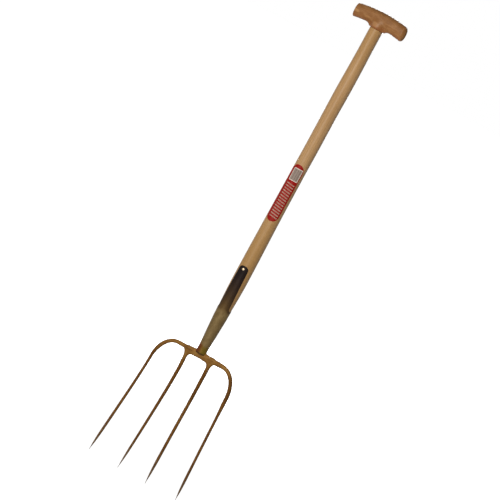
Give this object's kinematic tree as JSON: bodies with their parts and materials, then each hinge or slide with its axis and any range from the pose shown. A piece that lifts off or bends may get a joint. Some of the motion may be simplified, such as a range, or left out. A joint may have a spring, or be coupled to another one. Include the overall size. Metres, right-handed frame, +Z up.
{
  "type": "manure fork",
  "caption": "Long handled manure fork: slim round forged tines on a crossbar, a tapered socket with riveted straps, a straight ash shaft and a rounded wooden T-grip.",
  "frame": {"origin": "on the shaft's axis, level with the undersides of the T-grip's arms just beside the neck, where a hanging fork rests on its pegs", "axes": "+Z up along the shaft towards the grip, +Y towards the back (the points lean forward to -Y), +X to the right seen from the front, along the grip and the crossbar"},
  "size_m": [0.2434, 0.045, 1.1971],
  "materials": {
    "lacquered_steel": "forged steel under a clear golden brown lacquer, satin to glossy",
    "oiled_steel": "forged steel under clear lacquer, olive brown, with nearly black straps",
    "bright_steel": "bare bright steel, lightly brushed",
    "ash_wood": "pale ash, sanded, thin satin varnish",
    "stained_wood": "orange brown stained wood under a glossy varnish",
    "red_film": "plain red self-adhesive film, semi gloss",
    "pale_paper": "plain pale paper, matte"
  },
  "bodies": {
    "root": {"fork_head": "lacquered_steel", "socket": "oiled_steel", "rivet": "bright_steel", "shaft": "ash_wood", "grip": "stained_wood", "grip_pin": "bright_steel", "label": "red_film", "price_sticker": "pale_paper"}
  },
  "joints": []
}
